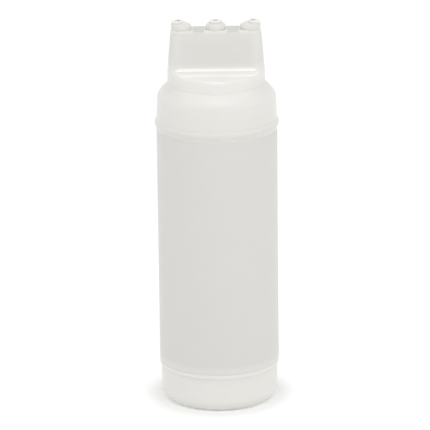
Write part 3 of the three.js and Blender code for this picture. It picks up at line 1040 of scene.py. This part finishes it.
def lid_tone_and_painted_light(tree, place):
    off_centre = abs(tree.axis(place, 0))
    height = tree.axis(place, 2)
    tone = skirt_tone_and_painted_light(tree, off_centre, height) + foot_painted_highlights(tree, place, height)
    return 1 + tone + spout_tone_and_painted_light(tree, off_centre, height)


lid_plastic = polyethylene(
    "lid_polyethylene", (0.75, 0.74, 0.705), cloud=0.01,
    roughness=0.26, grain=0.1, gloss=0.25, depth=lid_tone_and_painted_light,
)
dress(lid_shell, lid_plastic)
print("nodes in the lid's material:", len(lid_plastic.node_tree.nodes))

# %% [markdown]
# ## Silicone
# The seal rings are softer and more matt than the bottle, and a little whiter. They could have a
# node tree of their own. Silicone is a milky plastic too, so the same function serves with other
# values.

# %% Silicone of the seals
seal_silicone = polyethylene(
    "seal_silicone", (0.84, 0.83, 0.8), cloud=0.02, roughness=0.5, grain=0.3, gloss=0.1,
)
for seal in seals:
    dress(seal, seal_silicone)
print("materials:", [m.name for m in bpy.data.materials])

# %% [markdown]
# ## Floor and light
# The photograph is a bottle on pure white with a faint shadow round its foot. More light would
# whiten the floor and burn out the bottle with it. So the world lights the bottle at a plain level
# and two large soft lamps add the gentle difference between top, front and side, while the floor
# and the world look whiter only to rays from the camera and to those that were mirrored or let
# through. The floor's share of that white fades out near the foot, so the shadow stays. Right
# under the foot some of it comes back as painted light, which pales the contact shadow there.

# %% Floor
FLOOR_SIZE = 3
FLOOR_TONE = 0.9
FLOOR_LIFT = 0.15
SHADOW_REACH = 18 * mm
# Painted light on the floor right under the foot, which pales the contact shadow.
CONTACT_PAINTED_LIGHT = 0.3
CONTACT_BLUR = 2 * mm


def white_for(tree):
    """1 for the camera's rays and for those that were mirrored or let through."""
    rays = tree.nodes.new("ShaderNodeLightPath").outputs
    names = ("Is Camera Ray", "Is Glossy Ray", "Is Transmission Ray")
    return sum(Value(tree, rays[name]) for name in names)


def white_floor():
    material = bpy.data.materials.new("white_floor")
    tree = Tree(material)
    place = tree.node("ShaderNodeTexCoord", output=3)
    from_axis = tree.node("ShaderNodeVectorMath", {"operation": "LENGTH"}, {0: place}, output=1)
    under_foot = CAP_RADIUS - CAP_FOOT_RADIUS
    beside_foot = 1 - tree.climb(from_axis, under_foot, CAP_RADIUS + CONTACT_BLUR)
    clear_of_shadow = tree.climb(from_axis, CAP_RADIUS, CAP_RADIUS + SHADOW_REACH)
    # The white lift fades out in the shadow. Painted light lifts it again right under the foot.
    lift = clear_of_shadow * FLOOR_LIFT + beside_foot * CONTACT_PAINTED_LIGHT
    matt = tree.node("ShaderNodeBsdfDiffuse", None, {"Color": (FLOOR_TONE,) * 3 + (1,)})
    glow = tree.node("ShaderNodeEmission", None, {"Strength": white_for(tree) * lift})
    both = tree.node("ShaderNodeAddShader", None, {0: matt, 1: glow})
    tree.node("ShaderNodeOutputMaterial", None, {"Surface": both})
    return material


def add_floor():
    bm = bmesh.new()
    bmesh.ops.create_grid(bm, x_segments=2, y_segments=2, size=FLOOR_SIZE)
    floor = finish_mesh(bm, "floor")
    dress(floor, white_floor())
    return floor


floor = add_floor()
print("floor size:", round(floor.dimensions.x, 2), "m")

# %% World and lamps
WORLD_LEVEL = 0.94
LAMP_AIM = Vector((0, 0, 0.12))


def light_world():
    world = bpy.data.worlds.new("studio")
    bpy.context.scene.world = world
    tree = Tree(world)
    level = WORLD_LEVEL + white_for(tree) * (1 - WORLD_LEVEL)
    background = tree.node("ShaderNodeBackground", None, {"Color": (1, 1, 1, 1), "Strength": level})
    tree.node("ShaderNodeOutputWorld", None, {"Surface": background})


def soft_lamp(name, place, size, power):
    data = bpy.data.lights.new(name, "AREA")
    data.shape = "RECTANGLE"
    data.size, data.size_y = size
    data.energy = power
    lamp = bpy.data.objects.new(name, data)
    bpy.context.scene.collection.objects.link(lamp)
    turn = (LAMP_AIM - Vector(place)).to_track_quat("-Z", "Y").to_matrix().to_4x4()
    lamp.matrix_world = Matrix.Translation(place) @ turn
    return lamp


light_world()
lamps = [
    soft_lamp("top_softbox", place=(0, -0.6, 1.45), size=(1, 0.3), power=4),
    soft_lamp("right_fill", place=(1, -1.2, 0.5), size=(0.8, 0.8), power=1.2),
]
bpy.context.scene.view_settings.view_transform = "Standard"
print("lamps:", [lamp.name for lamp in lamps])
